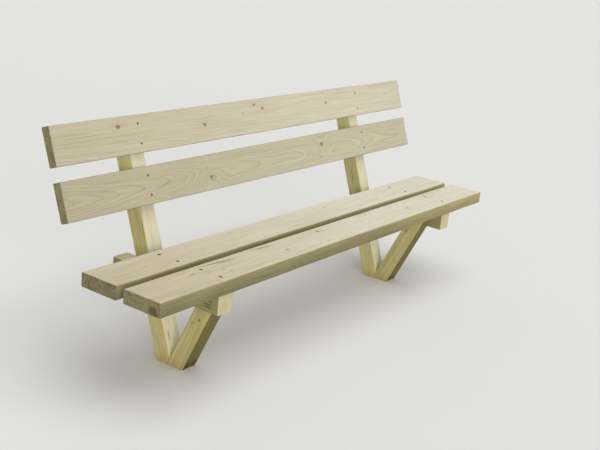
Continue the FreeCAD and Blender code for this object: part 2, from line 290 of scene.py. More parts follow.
def deepened(bm, face, middle, travel, widening):
    """Pushes the round bottom of a hole on by a travel, made wider or narrower."""
    bottom = bmesh.ops.extrude_discrete_faces(bm, faces=[face])["faces"][0]
    wider = Vector((widening, widening, widening))
    verts = list(bottom.verts)
    bmesh.ops.scale(bm, vec=wider, space=Matrix.Translation(-middle), verts=verts)
    bmesh.ops.translate(bm, vec=travel, verts=verts)
    return bottom


def bore(bm, near, facing, steps, far):
    """Bores a stepped hole right through, to a far face. Each step is a depth and a radius."""
    depth, radius = steps[0]
    bottom = round_patch(bm, near, radius)
    for next_depth, next_radius in steps[1:]:
        travel = facing * (depth - next_depth)
        bottom = deepened(bm, bottom, near - facing * depth, travel, next_radius / radius)
        depth, radius = next_depth, next_radius
    way_out = round_patch(bm, far, radius)
    loops = list(bottom.edges) + list(way_out.edges)
    bmesh.ops.delete(bm, geom=[bottom, way_out], context="FACES_ONLY")
    bmesh.ops.bridge_loops(bm, edges=loops)


def sink(bm, near, radius, inwards, level):
    """Sinks a slanting recess for a screw head, with its bottom square to the screw at a level."""
    mouth = round_patch(bm, near, radius)
    bottom = bmesh.ops.extrude_discrete_faces(bm, faces=[mouth])["faces"][0]
    for vert in bottom.verts:
        vert.co += inwards * (level - vert.co).dot(inwards)


def weather(bm, width, thickness, rounding, hollow, knock, seed):
    """Sinks the faces by tenths of a millimetre and knocks the arrises back, never outwards.

    The hollow is the greatest depth on a face, and the knock is how deep dents and chips go.
    """
    bm.normal_update()
    moves = []
    for vert in bm.verts:
        along, across, through = vert.co
        deep = through * WAVES_ACROSS + seed * WAVES_APART
        wave = noise.noise(Vector((along * WAVES_ALONG, across * WAVES_ACROSS, deep)))
        depth = hollow * (0.5 + 0.5 * wave)
        past_side = abs(across) - (width / 2 - rounding)
        past_face = abs(through) - (thickness / 2 - rounding)
        if past_side > 0 and past_face > 0:
            roundness = min(past_side, past_face) / rounding
            side = (1 if across > 0 else 0) + (2 if through > 0 else 0)
            spot = (along * DENTS, side * DENTED_ARRISES_APART, seed * DENTS_APART)
            dents = noise.noise(Vector(spot))
            spot = (along * CHIPS, side * CHIPPED_ARRISES_APART, seed * CHIPS_APART)
            chips = noise.noise(Vector(spot))
            dented = max(0, dents - DENTS_FROM) * DENTS_SHARE
            chipped = max(0, chips - CHIPS_FROM) * CHIPS_SHARE
            depth += knock * roundness * (dented + chipped)
        moves.append((vert, vert.normal * -depth))
    for vert, move in moves:
        vert.co += move


def lay_in_place(bm, place, node, finish):
    """Moves a shaped timber to its place on the bench and makes it a finished piece."""
    name = node + "_timber"
    bmesh.ops.transform(bm, matrix=place, verts=bm.verts)
    bmesh.ops.recalc_face_normals(bm, faces=bm.faces)
    mesh = bpy.data.meshes.new(name)
    bm.to_mesh(mesh)
    bm.free()
    mesh.shade_smooth()
    mesh.set_sharp_from_angle(angle=SHARP_ANGLE)
    mesh.materials.append(finish)
    piece = bpy.data.objects.new(name, mesh)
    bpy.context.scene.collection.objects.link(piece)
    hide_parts(node)
    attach(piece, "root")


# Finishes

# What stains, resin, knots and scars do to the colour of the wood beneath them
GREEN_STAIN, WARM_STAIN = (0.92, 0.97, 0.84), (1.0, 0.93, 0.86)
RESIN_FLECK, RESIN_STREAK = (0.62, 0.54, 0.42), (0.62, 0.55, 0.42)
BROWNED_SIDE = (1.04, 0.91, 0.80)
KNOT_HALO, KNOT_RIM = (0.90, 0.80, 0.66), (0.30, 0.25, 0.19)
KNOT_WOOD, KNOT_RINGS = (0.59, 0.52, 0.41), (0.36, 0.30, 0.23)
# The crack tint also paints shade in the foot screws' recesses
CRACK_AND_RECESS_SHADE, SCREW_STAIN = (0.40, 0.33, 0.25), (0.26, 0.19, 0.12)

# How much a branch leans, and how tightly its rings lie
BRANCH_LEAN, BRANCH_RINGS = 0.18, 4200
# How far the growth rings waver and ripple, and where about the pith the dark heart starts and is full
WAVER, RIPPLE, HEART_STARTS, HEART_FULL = 0.009, 0.0022, 0.026, 0.008
# Where end grain starts to show and is full, measured from a sawn end
END_GRAIN_STARTS, END_GRAIN_FULL = 0.0022, 0.0008
# The soft border of a screw's stain, and how far the ragged outline eats into it
STAIN_BORDER, STAIN_RAGGED = 0.002, 0.004
# The heights at which the earth stain ends and is full, and how ragged it is
FOOT_STAIN_TOP, FOOT_STAIN_FULL, FOOT_STAIN_RAGGED = 0.062, 0.020, 0.04
# How far from the middle of a seat board's edge its lower part gets painted shade and its upper part
# painted light
EDGE_PAINTED_SHADE_REACH = 0.016
# The depth of the relief that light shows in the finishes
WOOD_RELIEF, METAL_RELIEF = 0.0006, 0.0001


class Value:
    """A number, spot or colour that varies over a surface. It is added and multiplied like a number."""

    def __init__(self, tree, socket):
        self.tree, self.socket = tree, socket

    def worked(self, operation, *others):
        """A Math node for a number, or a Vector Math node for a spot."""
        kind = "ShaderNodeVectorMath" if self.socket.type == "VECTOR" else "ShaderNodeMath"
        return add(self.tree, kind, dict(enumerate((self, *others))), 0, operation=operation)

    def __add__(self, other):
        return self.worked("ADD", other)

    def __sub__(self, other):
        return self.worked("SUBTRACT", other)

    def __rsub__(self, other):
        return self * -1 + other

    def __mul__(self, other):
        return self.worked("MULTIPLY", other)

    def __truediv__(self, other):
        return self.worked("DIVIDE", other)

    def __abs__(self):
        return self.worked("ABSOLUTE")

    __radd__ = __add__

    def at_least(self, other):
        return self.worked("MAXIMUM", other)

    def parts(self):
        """The three numbers of a spot."""
        return add(self.tree, "ShaderNodeSeparateXYZ", {0: self})

    def distance(self):
        """How far a spot lies from the origin."""
        return add(self.tree, "ShaderNodeVectorMath", {0: self}, "Value", operation="LENGTH")


def add(tree, kind, feeds, wanted=None, **choices):
    """Adds a node and feeds its sockets. Gives the wanted one of its values, or else all of them."""
    node = tree.nodes.new(kind)
    for name, choice in choices.items():
        setattr(node, name, choice)
    for name, source in feeds.items():
        socket = node.inputs[name]
        if isinstance(source, Value):
            tree.links.new(source.socket, socket)
        else:
            socket.default_value = (*source, 1) if socket.type == "RGBA" else source
    if wanted is not None:
        return Value(tree, node.outputs[wanted])
    return [Value(tree, socket) for socket in node.outputs]


def by_name(values):
    return {value.socket.name: value for value in values}


def joined(*numbers):
    """A spot made of up to three numbers."""
    return add(numbers[0].tree, "ShaderNodeCombineXYZ", dict(enumerate(numbers)), 0)


def mixed(amount, one, two, how="MIX"):
    """Mixes two colours. At least one of the three varies over the surface."""
    tree = next(value.tree for value in (amount, one, two) if isinstance(value, Value))
    return add(tree, "ShaderNodeMix", {0: amount, 6: one, 7: two}, 2, data_type="RGBA", blend_type=how)


def tinted(amount, tone, tint):
    """Multiplies a colour by a tint, by the given amount."""
    return mixed(amount, tone, mixed(1, tone, tint, "MULTIPLY"))


def lit(tone, brightness):
    """Makes a colour lighter or darker by a brightness that varies."""
    return mixed(1, tone, joined(brightness, brightness, brightness), "MULTIPLY")


def mottle(spot, scale, detail=2, roughness=0.5):
    """Soft random variation from 0 to 1. Its scale along, across and through is in spots per metre."""
    feeds = {"Vector": spot * scale, "Scale": 1, "Detail": detail, "Roughness": roughness}
    return add(spot.tree, "ShaderNodeTexNoise", feeds, "Fac")


def eased(value, low, high, start=0, end=1, how="SMOOTHSTEP"):
    """Goes from start to end as the value goes from low to high."""
    feeds = {"Value": value, "From Min": low, "From Max": high, "To Min": start, "To Max": end}
    return add(value.tree, "ShaderNodeMapRange", feeds, 0, interpolation_type=how)


def scaled(brightness, tone):
    return tuple(brightness * part for part in tone)


def share_of(colour_wanted, colour_there):
    return tuple(wanted / there for wanted, there in zip(colour_wanted, colour_there))


def pattern(name, spots, numbers):
    """An empty node group, and the spots and numbers that are given to it."""
    tree = bpy.data.node_groups.new(name, "ShaderNodeTree")
    for labels, kind in ((spots, "NodeSocketVector"), (numbers, "NodeSocketFloat")):
        for label in labels:
            tree.interface.new_socket(name=label, in_out="INPUT", socket_type=kind)
    return tree, by_name(add(tree, "NodeGroupInput", {}))


def hand_out(tree, results):
    """Makes the results of a node group its outputs."""
    for label, value in results.items():
        kind = "NodeSocketVector" if value.socket.type == "VECTOR" else "NodeSocketFloat"
        tree.interface.new_socket(name=label, in_out="OUTPUT", socket_type=kind)
    add(tree, "NodeGroupOutput", results)


def drawn(tree, name, feeds):
    """Draws one of the patterns, and gives its results by their names."""
    return by_name(add(tree, "ShaderNodeGroup", feeds, node_tree=bpy.data.node_groups[name]))


def knot_pattern():
    """A branch knot through the thickness, with the grain flowing round it."""
    tree, given = pattern("Knot", ["Spot", "Middle"], ["Radius", "Spread"])
    radius, spread = given["Radius"], given["Spread"]
    away = given["Spot"] - given["Middle"]
    along, across, through = away.parts()
    leaning = along + through * BRANCH_LEAN

    def reach(long_share, wide_share):
        """The square of the distance from the knot, counted in shares of its radius."""
        one, two = leaning / (radius * long_share), across / (radius * wide_share)
        return one * one + two * two

    def fading(square):
        return (square * -1).worked("EXPONENT")

    ragged = (mottle(away, (160, 160, 160)) - 0.5) * 0.6
    distance = reach(1.25, 1).worked("SQRT") + ragged
    knot = eased(distance, 1.12, 0.85)
    turns = (distance * radius * BRANCH_RINGS).worked("SINE")
    crescent = eased(mottle(away, (75, 75, 75), 1), 0.38, 0.6, 0.15, 1)
    pushed = across * fading(reach(4.2, 2.4)) * 0.45
    whole_along, whole_across, whole_through = given["Spot"].parts()
    results = {
        "Spot": joined(whole_along, whole_across - pushed, whole_through),
        "Knot": knot,
        "Rings": (turns * 0.5 + 0.5) * knot,
        "Rim": (1 - abs(distance - 0.95) * 5).at_least(0) * crescent,
        "Halo": fading(reach(4.4, 2.1)),
        "Swell": fading(reach(6.5, 2.9) / spread / spread) * radius * spread * 2.3,
    }
    hand_out(tree, results)


def mark_pattern():
    """A short crack or a streak of resin or dirt along the grain, with ragged borders. In the foot screws'
    recesses it is painted shade.
    """
    tree, given = pattern("Mark", ["Spot", "Middle", "Reach"], ["Slope", "Strength"])
    along, across, through = (given["Spot"] - given["Middle"]).parts()
    straight = joined(along, across - along * given["Slope"], through)
    ragged = mottle(given["Spot"], (90, 700, 700)) * 0.9
    there = eased((straight / given["Reach"]).distance() + ragged, 1.45, 0.75)
    hand_out(tree, {"Mark": there * given["Strength"]})


def growth_pattern():
    """Growth rings about a tree's pith, cut through by the timber, with fibres, streaks and flecks."""
    numbers = ["Ring width", "Taper", "Wander", "Swell", "Shift"]
    tree, given = pattern("Growth rings", ["Spot", "Pith"], numbers)
    along, across, through = (given["Spot"] - given["Pith"]).parts()
    radius = (across * across + through * through).worked("SQRT")
    heart = eased(radius, HEART_STARTS, HEART_FULL)
    shifted = given["Spot"] + given["Shift"]
    waver = (mottle(shifted, (5, 26, 26)) - 0.5) * WAVER
    ripple = (mottle(shifted, (26, 70, 70)) - 0.5) * RIPPLE
    drift = (mottle(shifted, (1.4, 0, 0), 1) - 0.5) * given["Wander"]
    radius = radius + along * given["Taper"] + waver + ripple + drift + given["Swell"]
    years = radius / given["Ring width"]
    feeds = {"W": years.worked("FLOOR")}
    year = add(tree, "ShaderNodeTexWhiteNoise", feeds, "Value", noise_dimensions="1D")
    streak = eased(mottle(shifted, (3.5, 170, 170)), 0.52, 0.68)
    results = {
        "Late wood": summer_growth(years.worked("FRACT")) * (0.4 + year * 0.6),
        "Year": year,
        "Fibre": mottle(shifted, (9, 520, 520), 3, 0.6),
        "Fleck": eased(mottle(shifted, (30, 760, 760), 1), 0.66, 0.74),
        "Streak": streak * eased(mottle(shifted, (2.4, 18, 18)), 0.46, 0.62),
        "Heart": heart,
    }
    hand_out(tree, results)


def summer_growth(season):
    """How dark the wood of one year is, from its spring at 0 to its end at 1."""
    darkness = add(season.tree, "ShaderNodeValToRGB", {0: season}, 0)
    points = darkness.socket.node.color_ramp.elements
    points[0].color = points[1].color = (0.3, 0.3, 0.3, 1)
    for moment, value in ((0.06, 0.0), (0.58, 0.04), (0.82, 0.26), (0.94, 1.0)):
        points.new(moment).color = (value, value, value, 1)
    return darkness


def blank(holder):
    """The empty node tree of a new material or world."""
    holder.use_nodes = True
    holder.node_tree.nodes.clear()
    return holder.node_tree


def surface(tree, tone, dull, relief, strength, depth, others):
    """Ends a finish with its colour, its dullness, its relief and what else its shader is given."""
    bump = add(tree, "ShaderNodeBump", {"Strength": strength, "Distance": depth, "Height": relief}, 0)
    feeds = {"Base Color": tone, "Roughness": dull, "Normal": bump, **others}
    shader = add(tree, "ShaderNodeBsdfPrincipled", feeds, "BSDF")
    add(tree, "ShaderNodeOutputMaterial", {"Surface": shader})


def timber_places(tree, place, seed):
    """Where a point lies in a timber's own length, width and thickness, and on the bench."""
    bench_spot = add(tree, "ShaderNodeTexCoord", {}, "Object")
    feeds = {"Vector": bench_spot, "Location": place.translation, "Rotation": place.to_3x3().to_euler()}
    home = add(tree, "ShaderNodeMapping", feeds, 0, vector_type="TEXTURE")
    along, across, through = home.parts()
    along_bench, _, height = bench_spot.parts()
    return {
        "home": home,
        "shifted": home + (seed, seed * 0.37, seed * 0.73),
        "along": along,
        "across": across,
        "through": through,
        "along bench": along_bench,
        "height": height,
    }


def covered(at, borders):
    """1 past any of the borders. A border is an axis, and where on it the cover starts and is full."""
    cover = 0.0
    for axis, start, full in borders:
        cover = eased(at[axis], start, full).at_least(cover)
    return cover


def knots_in(at, figure):
    """Sets the knots in one after another. Gives the grain that they push aside and what all do."""
    spot, swell = at["home"], 0.0
    knots = {"Knot": 0.0, "Rings": 0.0, "Rim": 0.0, "Halo": 0.0}
    for along, across, radius in figure["knots"]:
        feeds = {"Spot": spot, "Middle": (along, across, 0), "Radius": radius, "Spread": figure["spread"]}
        branch = drawn(spot.tree, "Knot", feeds)
        spot, swell = branch["Spot"], branch["Swell"] + swell
        knots = {name: branch[name].at_least(value) for name, value in knots.items()}
    return spot, swell, knots


def marks_in(at, figure):
    """How strongly the marks of a timber cover it."""
    marks_and_painted_shade = 0.0
    for middle, reach, slope, strength in figure["marks"]:
        feeds = {"Spot": at["home"], "Middle": middle, "Reach": reach, "Slope": slope, "Strength": strength}
        marks_and_painted_shade = drawn(at["home"].tree, "Mark", feeds)["Mark"].at_least(marks_and_painted_shade)
    return marks_and_painted_shade


def clean_wood(at, colours, figure, rings, halo):
    """Growth rings, years and fibres of different tones, with green and warm stains and resin."""
    shifted = at["shifted"]
    late = rings["Late wood"] * (figure["contrast"] + halo * 0.35)
    year_tone = eased(rings["Year"], 0, 1, 0.97, 1.03)
    fibre_tone = eased(rings["Fibre"], 0.25, 0.75, 0.92, 1.07)
    broad_tone = eased(mottle(shifted, (4, 60, 60)), 0.2, 0.8, 0.95, 1.04)
    tone = lit(mixed(late, colours["face"], colours["ring"]), year_tone * fibre_tone * broad_tone)
    green = eased(mottle(shifted, (3, 11, 11), 3), 0.48, 0.72, 0, 0.15)
    warm = eased(mottle(shifted, (5.3, 17, 17)), 0.55, 0.75, 0, 0.4)
    tone = tinted(warm, tinted(green, tone, GREEN_STAIN), WARM_STAIN)
    tone = tinted(rings["Fleck"] * 0.3, tone, RESIN_FLECK)
    return tinted(rings["Streak"] * figure["streaks"], tone, RESIN_STREAK)


def paint_light_along_bench(at, tone, figure, sides):
    """Paints light on the faces: a painted tint from one colour at the bench's left end to another past its
    middle.
    """
    along_bench = eased(at["along bench"], -1, 0.3, how="LINEAR")
    bleached_and_painted_light = mixed(1, tone, mixed(along_bench, *figure["bleached_and_painted_light"]), "MULTIPLY")
    return mixed(covered(at, [border for _, *border in sides]), bleached_and_painted_light, tone)


def sides_stained_and_painted(at, tone, colours, figure, sides):
    """Stains the sides in long streaks with brown patches and gives them their colours, among them the
    painted shade of the legs' fronts and the painted light on the bearers' tops. Paints sheen and shade on
    the seat edges, and light on wood under the seat and between the back boards.
    """
    streaks = eased(mottle(at["shifted"], (5, 110, 110), 3), 0.25, 0.75, -0.13, 0.13)
    if figure["painted_edge_sheen"]:
        # Painted sheen: the seat edges grow paler towards the bench's right end
        painted_sheen = eased(at["along bench"], 0, 1, 0, figure["painted_edge_sheen"], how="LINEAR")
        # Painted shade on the lower part of the seat edges and painted light on their upper part
        streaks = streaks + painted_sheen + eased(at["through"], -EDGE_PAINTED_SHADE_REACH, EDGE_PAINTED_SHADE_REACH, -0.12, 0.15)
    browned = eased(mottle(at["shifted"], (6, 30, 30), 3), 0.45, 0.75, 0, 0.5)
    for side_colour, *border in sides:
        side = covered(at, [border])
        tone = tinted(side, tone, share_of(side_colour, colours["face"]))
        tone = tinted(side * browned, lit(tone, 1 + side * streaks), BROWNED_SIDE)
    # Painted light: lightens wood under the seat and between the back boards, where shade falls
    for start, full, brightness in figure["painted_light_heights"]:
        tone = lit(tone, eased(at["height"], start, full, 1, brightness))
    return tone


def knotted(tone, knots):
    """Darkens the wood at its knots, with their own rings, their bark rims and a halo round them."""
    tone = tinted(knots["Halo"] * 0.30, tone, KNOT_HALO)
    tone = tinted(knots["Knot"] * 0.85, tone, mixed(knots["Rings"], KNOT_WOOD, KNOT_RINGS))
    return tinted(knots["Rim"] * 0.9, tone, KNOT_RIM)


def end_grain(at, colours, figure, rings, coarse):
    """Rough sawn end grain: coarse spots, blotches, rings and a dark heart."""
    rough = figure["rough_end"]
    spotted = eased(coarse, 0.3, 0.7, 1 - 0.26 * rough, 1 + 0.24 * rough)
    blotch = mottle(at["shifted"], (34, 34, 34), 3, 0.6)
    blotched = eased(blotch, 0.25, 0.75, 1 - 0.20 * rough, 1 + 0.20 * rough)
    ringed = eased(rings["Late wood"], 0, 1, 1 + 0.05 * rough, 1 - 0.34 * rough)
    hearted = eased(rings["Heart"], 0, 1, 1, 1 - 0.38 * rough)
    return lit(colours["end"], spotted * blotched * ringed * hearted)


def screw_stains(at, tone, fixings):
    """Dark stain round the screws, which lie alike on both sides of the two middle lines."""
    along, across, radius, strength = fixings
    away = joined(abs(at["along"]) - along, abs(at["across"]) - across).distance()
    ragged = mottle(at["shifted"], (60, 220, 220)) * STAIN_RAGGED
    return tinted(eased(away - ragged, radius, radius - STAIN_BORDER) * strength, tone, SCREW_STAIN)


def foot_stain(at, tone, tint):
    """Earth stain that fades upwards from the ground."""
    ragged = at["height"] + mottle(at["shifted"], (18, 60, 60), 3) * FOOT_STAIN_RAGGED
    return tinted(eased(ragged, FOOT_STAIN_TOP, FOOT_STAIN_FULL, 0, 0.55), tone, tint)


def wood_finish(node, place, colours, figure, ends, sides, fixings=None, foot=None):
    """The finish of one timber. Its patterns run in the timber's own length, width and thickness.

    Each of the ends is a border, as the cover has it, and each of the sides is a colour and a border.
    The fixings are the screws' place along and across, the radius and strength of their stain.
    """
    finish = bpy.data.materials.new(node.replace("_", " "))
    tree = blank(finish)
    figure = {**PLAIN_FIGURE, **figure}
    at = timber_places(tree, place, figure["seed"])
    spot, swell, knots = knots_in(at, figure)
    feeds = {
        "Spot": spot,
        "Swell": swell,
        "Pith": (0, *figure["pith"]),
        "Ring width": figure["ring_width"],
        "Taper": figure["taper"],
        "Wander": figure["wander"],
        "Shift": figure["seed"],
    }
    rings = drawn(tree, "Growth rings", feeds)

    tone = clean_wood(at, colours, figure, rings, knots["Halo"])
    # Painted light that grows from the bench's left end to past its middle
    if figure["bleached_and_painted_light"]:
        tone = paint_light_along_bench(at, tone, figure, sides)
    tone = knotted(sides_stained_and_painted(at, tone, colours, figure, sides), knots)
    marks_and_painted_shade = marks_in(at, figure)
    tone = tinted(marks_and_painted_shade, tone, CRACK_AND_RECESS_SHADE)
    end, coarse = covered(at, ends), mottle(at["shifted"], (150, 150, 150), 4, 0.65)
    tone = mixed(end, tone, end_grain(at, colours, figure, rings, coarse))
    if fixings is not None:
        tone = screw_stains(at, tone, fixings)
    if foot is not None:
        tone = foot_stain(at, tone, share_of(foot, colours["face"]))

    relief = rings["Late wood"] * 0.22 + rings["Fibre"] * 0.3 - rings["Fleck"] * 0.25
    relief = relief - knots["Rim"] * 0.5 - marks_and_painted_shade * 0.6 + end * coarse * 2.4
    dull = 0.70 + rings["Fibre"] * 0.18 - knots["Knot"] * 0.12
    surface(tree, tone, dull, relief, 0.5, WOOD_RELIEF, {"Specular IOR Level": 0.3})
    return finish


def screw_finish(name, coat):
    """Coated screw steel, a little worn and dusty."""
    finish = bpy.data.materials.new(name)
    tree = blank(finish)
    spot = add(tree, "ShaderNodeTexCoord", {}, "Object")
    worn = mottle(spot, (700, 700, 700), 3, 0.6)
    dust = eased(mottle(spot, (260, 260, 260)), 0.5, 0.75, 0, 0.25)
    tone = mixed(dust, mixed(worn, scaled(0.55, coat), scaled(1.5, coat)), (0.14, 0.10, 0.06))
    surface(tree, tone, eased(worn, 0, 1, 0.6, 0.85), worn, 0.35, METAL_RELIEF, {"Metallic": 0.35})
    return finish


def bolt_finish(zinc):
    """Galvanised steel with its spangle and a white bloom in places."""
    finish = bpy.data.materials.new("galvanised bolt steel")
    tree = blank(finish)
    spot = add(tree, "ShaderNodeTexCoord", {}, "Object")
    cells = add(tree, "ShaderNodeTexVoronoi", {"Vector": spot, "Scale": 420}, "Color", feature="F1")
    spangle = add(tree, "ShaderNodeSeparateColor", {0: cells}, 0)
    cloud = mottle(spot, (180, 180, 180), 3, 0.6)
    tone = mixed(spangle, scaled(0.78, zinc), scaled(1.2, zinc))
    tone = mixed(eased(cloud, 0.5, 0.75, 0, 0.5), tone, (0.62, 0.63, 0.61))
    dull = eased(spangle, 0, 1, 0.34, 0.5) + eased(cloud, 0.5, 0.75, 0, 0.2)
    surface(tree, tone, dull, cloud, 0.25, METAL_RELIEF, {"Metallic": 0.9})
    return finish


def colours_of(settings):
    return {
        "face": tuple(settings.face_colour),
        "ring": tuple(settings.ring_colour),
        "end": tuple(settings.end_colour),
    }


def sawn_end(axis, place, side):
    """Where end grain lies at a sawn end. The side is 1 where the axis runs out of the timber there."""
    return (axis, place - side * END_GRAIN_STARTS, place - side * END_GRAIN_FULL)


def both_ends(half):
    return [sawn_end("along", side * half, side) for side in (-1, 1)]


def golden_sides(sizes):
    """The faces of a frame timber that look towards the ends of the bench."""
    start, full = (sizes.section / 2 - gap for gap in GOLDEN_BORDER)
    golden = tuple(sizes.side_colour)
    return [(golden, "through", side * start, side * full) for side in (-1, 1)]


# The figure of each timber, as far as the photograph shows it

# Places and sizes are in metres, in the timber's own frame. The pith is its place across and
# through. Taper is how fast the rings widen along the timber, and wander how far they drift. A knot
# is its place along and across and its radius, and spread is how far it swells the rings. Contrast,
# streaks and rough end are how strongly the rings, the resin and the end grain show. Bleached and
# painted light holds the tints of painted light at the bench's left end and past its middle, and
# painted edge sheen how much paler the sides are painted towards its right end, a painted sheen.
# Painted light heights hold, for each band, the height where painted light starts and where it is
# full, and its brightness; it lightens wood under the seat and between the back boards. Front edge
# painted light is how much a front edge is lightened, painted light in the gap between the seat
# boards, and end light is how bright the ends are. The seed sets a timber apart from the others.

# Where the faces lie through each kind of timber, and how deep a mark goes
SEAT_FACE, BACK_FACE, FRAME_FACE, MARK_DEPTH = 0.024, 0.016, 0.0325, 0.004


def on_face(face, *rows):
    """Marks on a face: a row is a place, then a reach, along and across, a slope and a strength."""
    return [
        ((along, across, face), (long, wide, MARK_DEPTH), slope, strength)
        for along, across, long, wide, slope, strength in rows
    ]


PLAIN_FIGURE = {"spread": 1.3, "marks": [], "painted_light_heights": [], "bleached_and_painted_light": None, "painted_edge_sheen": 0}
SEAT_FIGURE = {
    "bleached_and_painted_light": ((0.98, 0.94, 0.87), (1.21, 1.25, 1.35)),
    # Painted sheen on the seat edges towards the bench's right end
    "painted_edge_sheen": 0.55,
    "rough_end": 1.35,
}
FRAME_FIGURE = {"ring_width": 0.0055, "taper": 0.010, "wander": 0.012, "rough_end": 0.7}
POST_FIGURE = {
    **FRAME_FIGURE,
    "contrast": 0.36,
    "streaks": 0.45,
    # Painted light under the seat and between the back boards
    "painted_light_heights": [(0.34, 0.28, 1.25), (0.60, 0.63, 1.25)],
}
LEG_FIGURE = {
    **FRAME_FIGURE,
    "ring_width": 0.0052,
    "taper": 0.012,
    "contrast": 0.5,
    "streaks": 0.5,
    # Painted light under the seat
    "painted_light_heights": [(0.34, 0.28, 1.12)],
}
BEARER_FIGURE = {**FRAME_FIGURE, "contrast": 0.4, "streaks": 0.6, "rough_end": 0.22}

SEAT_FIGURES = {
    "seat_board_front": {
        **SEAT_FIGURE,
        "pith": (-0.045, -0.010),
        "ring_width": 0.0054,
        "taper": 0.010,
        "wander": 0.020,
        "contrast": 0.34,
        "streaks": 0.55,
        "knots": [(-0.325, -0.013, 0.0046), (-0.073, 0.043, 0.0062), (0.491, -0.001, 0.0050)],
        "marks": on_face(
            SEAT_FACE,
            (-0.621, 0.051, 0.115, 0.0050, -0.07, 0.85),
            (-0.585, 0.041, 0.060, 0.0040, -0.05, 0.65),
            (-0.385, 0.053, 0.075, 0.0050, -0.10, 0.85),
            (-0.780, 0.055, 0.030, 0.0034, -0.16, 0.55),
            (-0.753, 0.030, 0.024, 0.0060, 0.25, 0.50),
            (-0.650, -0.006, 0.013, 0.0060, 0.0, 0.45),
            (-0.636, -0.026, 0.013, 0.0060, 0.0, 0.45),
            (-0.575, 0.030, 0.016, 0.0060, 0.0, 0.40),
        ),
        "front_edge_painted_light": 1,
        "end_light": 1.08,
        "seed": 3.1,
    },
    "seat_board_rear": {
        **SEAT_FIGURE,
        "pith": (-0.030, -0.090),
        "ring_width": 0.0058,
        "taper": -0.010,
        "wander": 0.026,
        "contrast": 0.30,
        "streaks": 0.35,
        "knots": [(0.205, 0.030, 0.0035)],
        "marks": on_face(
            SEAT_FACE,
            (-0.343, 0.053, 0.014, 0.0030, 0.1, 0.7),
            (-0.821, -0.010, 0.016, 0.0026, 0.0, 0.6),
            (-0.558, -0.011, 0.012, 0.0028, 0.0, 0.6),
        ),
        # Painted light: the rear board's front edge is lightened where shade falls in the gap
        "front_edge_painted_light": 1.05,
        "end_light": 0.92,
        "seed": 7.9,
    },
}

BACK_FIGURES = {
    "back_board_lower": {
        "pith": (-0.004, -0.030),
        "ring_width": 0.0054,
        "taper": 0.045,
        "wander": 0.040,
        "contrast": 0.60,
        "streaks": 0.2,
        "rough_end": 0.9,
        "knots": [(-0.338, -0.0165, 0.0056), (0.340, 0.0185, 0.0080)],
        "spread": 1.7,
        "bleached_and_painted_light": ((0.80, 0.78, 0.74), (0.90, 0.90, 0.90)),
        "seed": 1.3,
    },
    "back_board_upper": {
        "pith": (-0.085, -0.050),
        "ring_width": 0.0046,
        "taper": 0.004,
        "wander": 0.020,
        "contrast": 0.50,
        "streaks": 0.3,
        "rough_end": 0.9,
        "knots": [
            (-0.726, 0.0305, 0.0070),
            (-0.324, -0.0045, 0.0055),
            (0.008, 0.0245, 0.0062),
            (-0.039, 0.0405, 0.0044),
            (0.420, 0.0105, 0.0055),
        ],
        "marks": on_face(
            BACK_FACE,
            (-0.113, 0.0157, 0.0060, 0.0032, 0.0, 0.65),
            (-0.065, 0.0153, 0.0050, 0.0026, 0.0, 0.55),
            (-0.027, 0.0180, 0.0050, 0.0024, 0.0, 0.5),
            (-0.289, 0.0256, 0.0140, 0.0014, -0.25, 0.6),
            (0.405, 0.0515, 0.0100, 0.0050, 0.0, 0.45),
            (0.872, 0.0110, 0.0170, 0.0050, 0.05, 0.45),
            (0.820, 0.0530, 0.1500, 0.0080, 0.0, 0.18),
        ),
        "bleached_and_painted_light": ((0.90, 0.88, 0.86), (1.06, 1.07, 1.13)),
        "seed": 5.7,
    },
}

POST_FIGURES = {
    "back_post_left": {
        **POST_FIGURE,
        "pith": (0.006, -0.004),
        "knots": [(0.235, 0.010, 0.0035)],
        "marks": [
            *on_face(FRAME_FACE, (0.040, -0.0260, 0.060, 0.0050, 0.0, 0.55)),
            *on_face(FRAME_FACE, (0.060, -0.0120, 0.075, 0.0040, 0.02, 0.45)),
            *on_face(0.0155, (-0.320, -0.0325, 0.030, 0.0050, 0.0, 0.8)),
        ],
        "seed": 2.2,
    },
    "back_post_right": {
        **POST_FIGURE,
        "pith": (-0.012, 0.010),
        "knots": [(-0.165, -0.009, 0.003)],
        "marks": [((0.035, 0.0, FRAME_FACE), (0.042, 0.0032, 0.006), 0.0, 0.75)],
        "seed": 8.4,
    },
}

LEG_FIGURES = {
    "front_leg_left": {
        **LEG_FIGURE,
        "pith": (0.004, -0.010),
        "knots": [(0.040, -0.003, 0.0048), (0.014, 0.016, 0.0028)],
        "seed": 4.6,
    },
    "front_leg_right": {
        **LEG_FIGURE,
        "pith": (0.010, 0.012),
        "knots": [(0.088, 0.012, 0.0048), (0.106, 0.004, 0.0028)],
        "seed": 9.3,
    },
}

BEARER_FIGURES = {
    "seat_bearer_left": {
        **BEARER_FIGURE,
        "pith": (0.010, 0.006),
        "knots": [(0.120, 0.006, 0.005)],
        "marks": on_face(
            FRAME_FACE,
            (-0.185, 0.0060, 0.030, 0.0034, 0.0, 1),
            (-0.188, 0.0150, 0.026, 0.0032, -0.14, 1),
            (-0.192, -0.0070, 0.020, 0.0034, -0.46, 1),
        ),
        "seed": 6.2,
    },
    "seat_bearer_right": {
        **BEARER_FIGURE,
        "pith": (-0.008, 0.012),
        "knots": [(-0.060, -0.008, 0.004)],
        "seed": 0.8,
    },
}


# The pieces

